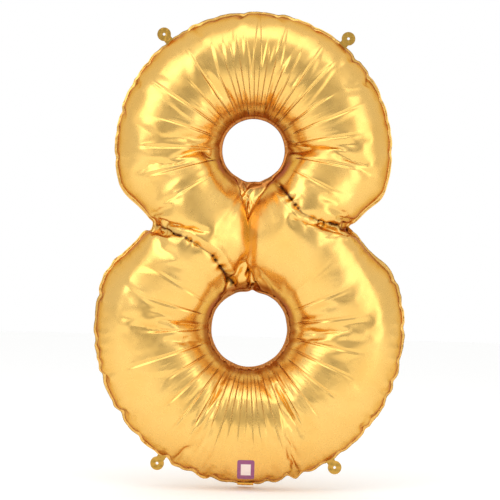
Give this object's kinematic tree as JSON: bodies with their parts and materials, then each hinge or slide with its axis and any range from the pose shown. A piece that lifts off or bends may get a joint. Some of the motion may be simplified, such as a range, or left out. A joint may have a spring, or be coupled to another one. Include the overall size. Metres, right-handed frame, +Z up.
{
  "type": "foil number balloon",
  "caption": "Inflated number balloon in the shape of an eight, of welded foil sheets, with round holes through both lobes, hanging tabs and a self-sealing filling neck.",
  "frame": {"origin": "middle of the balloon's width and depth, at the lowest point of the folded filling neck", "axes": "+Z up the numeral, +X to the right of it as it is read, +Y towards its back"},
  "size_m": [0.568, 0.1778, 0.8681],
  "materials": {
    "gold_foil_front": "metallised film, satin gold",
    "gold_foil_back": "metallised film, satin gold",
    "gold_foil_tab": "two metallised films welded together",
    "gold_foil_neck": "metallised film, satin gold",
    "clear_valve_film": "milky clear polyethylene film",
    "release_coating": "thin printed coating",
    "printed_ink": "plain printed patch"
  },
  "bodies": {
    "foil_envelope": {"front_foil_panel": "gold_foil_front", "back_foil_panel": "gold_foil_back", "printed_mark": "printed_ink"},
    "top_left_tab": {"top_left_tab": "gold_foil_tab"},
    "top_right_tab": {"top_right_tab": "gold_foil_tab"},
    "bottom_left_tab": {"bottom_left_tab": "gold_foil_tab"},
    "bottom_right_tab": {"bottom_right_tab": "gold_foil_tab"},
    "filling_neck": {"neck_front_foil": "gold_foil_neck", "neck_back_foil": "gold_foil_neck", "neck_valve_front": "clear_valve_film", "neck_valve_back": "clear_valve_film"},
    "valve_front": {"valve_front_film": "clear_valve_film"},
    "valve_back": {"valve_back_film": "clear_valve_film", "valve_release_coating": "release_coating"}
  },
  "joints": [
    {"name": "top_left_tab_fold", "type": "hinge", "parent": "foil_envelope", "child": "top_left_tab", "pos_m": [-0.15985, 0, 0.81158], "axis": [-0.7771, 0, -0.6293], "range_deg": [-80, 80], "stiffness_Nm_per_rad": 0.0005},
    {"name": "top_right_tab_fold", "type": "hinge", "parent": "foil_envelope", "child": "top_right_tab", "pos_m": [0.15985, 0, 0.81158], "axis": [-0.7771, 0, 0.6293], "range_deg": [-80, 80], "stiffness_Nm_per_rad": 0.0005},
    {"name": "bottom_left_tab_fold", "type": "hinge", "parent": "foil_envelope", "child": "bottom_left_tab", "pos_m": [-0.15468, 0, 0.051], "axis": [0.8387, 0, -0.5446], "range_deg": [-80, 80], "stiffness_Nm_per_rad": 0.0005},
    {"name": "bottom_right_tab_fold", "type": "hinge", "parent": "foil_envelope", "child": "bottom_right_tab", "pos_m": [0.15468, 0, 0.051], "axis": [0.8387, 0, 0.5446], "range_deg": [-80, 80], "stiffness_Nm_per_rad": 0.0005},
    {"name": "neck_fold", "type": "hinge", "parent": "foil_envelope", "child": "filling_neck", "pos_m": [0, 0, 0.00519], "axis": [1, 0, 0], "range_deg": [-164, 0]},
    {"name": "valve_front_open", "type": "hinge", "parent": "foil_envelope", "child": "valve_front", "pos_m": [0, -0.0003, 0.01329], "axis": [1, 0, 0], "range_deg": [0, 4], "stiffness_Nm_per_rad": 0.02},
    {"name": "valve_back_open", "type": "hinge", "parent": "foil_envelope", "child": "valve_back", "pos_m": [0, 0.0003, 0.01329], "axis": [1, 0, 0], "range_deg": [-4, 0], "stiffness_Nm_per_rad": 0.02}
  ],
  "couplings": [
    {"joint": "valve_front_open", "follows": "valve_back_open", "ratio": -1}
  ]
}
